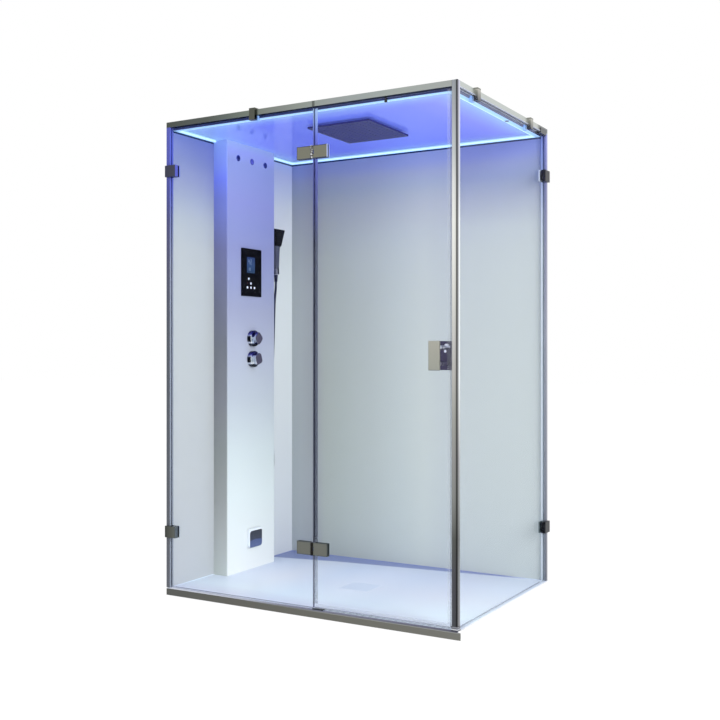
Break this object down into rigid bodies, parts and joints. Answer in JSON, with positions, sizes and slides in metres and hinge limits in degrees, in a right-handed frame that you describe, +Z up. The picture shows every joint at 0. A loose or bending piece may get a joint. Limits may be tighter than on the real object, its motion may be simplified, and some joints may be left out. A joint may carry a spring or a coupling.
{
  "type": "steam shower cabin",
  "caption": "Rectangular walk-in steam shower cabin with two solid walls, a hinged glass door, a glass side, a lit ceiling with rain head and a full-height service column.",
  "frame": {"origin": "middle of the overall footprint, door handle included, on the floor the tray stands on", "axes": "+X to the right seen from the front, +Y towards the rear wall, +Z up"},
  "size_m": [1.464, 1.062, 2.156],
  "materials": {
    "stone_resin": "satin, cast",
    "trim_metal": "anodised, satin",
    "wall_board": "gloss",
    "frame_metal": "bright anodised",
    "chrome": "polished",
    "clear_glass": "clear, polished edges",
    "clear_seal": "translucent",
    "fitting_metal": "satin",
    "steel": "plain",
    "magnet_strip": "matt",
    "threshold_metal": "satin",
    "bumper_rubber": "matt",
    "ceiling_board": "gloss",
    "led_lens": "opal",
    "sensor_plastic": "satin",
    "rain_metal": "satin",
    "silicone": "matt",
    "pipe_metal": "plain",
    "column_board": "gloss",
    "lamp_metal": "polished",
    "panel_plastic": "gloss black",
    "display_glass": "smoked",
    "key_plastic": "lit",
    "brass": "cast",
    "generator_case": "plain",
    "outlet_plastic": "satin",
    "black_plastic": "gloss",
    "hose_metal": "silvery, fine lines"
  },
  "bodies": {
    "cabin": {"shower_tray": "stone_resin", "tray_front_trim": "trim_metal", "waste_flange": "chrome", "left_wall_panel": "wall_board", "rear_wall_panel": "wall_board", "wall_profiles": "frame_metal", "front_top_rail": "frame_metal", "side_top_rail": "frame_metal", "side_rail_sockets": "bumper_rubber", "rail_clamps": "chrome", "corner_post": "frame_metal", "post_foot": "chrome", "fixed_front_glass": "clear_glass", "fixed_side_glass": "clear_glass", "glass_base_seals": "clear_seal", "wall_clamps": "fitting_metal", "fixing_screws": "steel", "hinge_fixed_leaves": "fitting_metal", "hinge_pins": "steel", "post_magnet_strip": "magnet_strip", "threshold_bar": "threshold_metal", "door_stop": "bumper_rubber", "ceiling_panel": "ceiling_board", "ceiling_frame": "frame_metal", "led_diffuser": "led_lens", "steam_temperature_sensor": "sensor_plastic", "rain_head_body": "rain_metal", "rain_head_face": "silicone", "rain_pipe": "pipe_metal", "column_housing": "column_board", "column_lamps": "lamp_metal", "control_panel": "panel_plastic", "display_window": "display_glass", "mixer_body": "brass", "knob_sleeves": "chrome", "steam_generator": "generator_case", "steam_outlet_cover": "outlet_plastic", "steam_pipe": "pipe_metal", "hose_elbow": "chrome", "handset_bracket": "chrome", "shower_hose": "hose_metal"},
    "door": {"door_glass": "clear_glass", "hinge_door_leaves": "fitting_metal", "hinge_door_screws": "steel", "handle_plates": "fitting_metal", "handle_standoffs": "chrome", "door_hinge_seal": "clear_seal", "door_bottom_seal": "clear_seal", "door_magnet_seal": "clear_seal"},
    "temperature_knob": {"temperature_knob": "chrome"},
    "flow_knob": {"flow_knob": "chrome"},
    "key_steam": {"key_steam": "key_plastic"},
    "key_light": {"key_light": "key_plastic"},
    "key_down": {"key_down": "key_plastic"},
    "key_power": {"key_power": "key_plastic"},
    "key_up": {"key_up": "key_plastic"},
    "handset": {"handset_body": "chrome", "handset_face": "black_plastic", "handset_nut": "chrome"},
    "drain_cover": {"drain_cover": "chrome"}
  },
  "joints": [
    {"name": "door_hinge", "type": "hinge", "parent": "cabin", "child": "door", "pos_m": [0.0536, -0.484, 1.112], "axis": [0, 0, -1], "range_deg": [0, 90]},
    {"name": "temperature_turn", "type": "hinge", "parent": "cabin", "child": "temperature_knob", "pos_m": [-0.64, 0.042, 1.1736], "axis": [1, 0, 0], "range_deg": [-135, 135]},
    {"name": "flow_turn", "type": "hinge", "parent": "cabin", "child": "flow_knob", "pos_m": [-0.64, 0.042, 1.0717], "axis": [1, 0, 0], "range_deg": [-90, 90]},
    {"name": "key_steam_press", "type": "slide", "parent": "cabin", "child": "key_steam", "axis": [-1, 0, 0], "range_m": [0, 0.0012], "stiffness_N_per_m": 600},
    {"name": "key_light_press", "type": "slide", "parent": "cabin", "child": "key_light", "axis": [-1, 0, 0], "range_m": [0, 0.0012], "stiffness_N_per_m": 600},
    {"name": "key_down_press", "type": "slide", "parent": "cabin", "child": "key_down", "axis": [-1, 0, 0], "range_m": [0, 0.0012], "stiffness_N_per_m": 600},
    {"name": "key_power_press", "type": "slide", "parent": "cabin", "child": "key_power", "axis": [-1, 0, 0], "range_m": [0, 0.0012], "stiffness_N_per_m": 600},
    {"name": "key_up_press", "type": "slide", "parent": "cabin", "child": "key_up", "axis": [-1, 0, 0], "range_m": [0, 0.0012], "stiffness_N_per_m": 600},
    {"name": "handset_lift", "type": "slide", "parent": "cabin", "child": "handset", "axis": [0, 0, 1], "range_m": [0, 0.08]},
    {"name": "drain_cover_lift", "type": "slide", "parent": "cabin", "child": "drain_cover", "axis": [0, 0, 1], "range_m": [0, 0.05]}
  ]
}
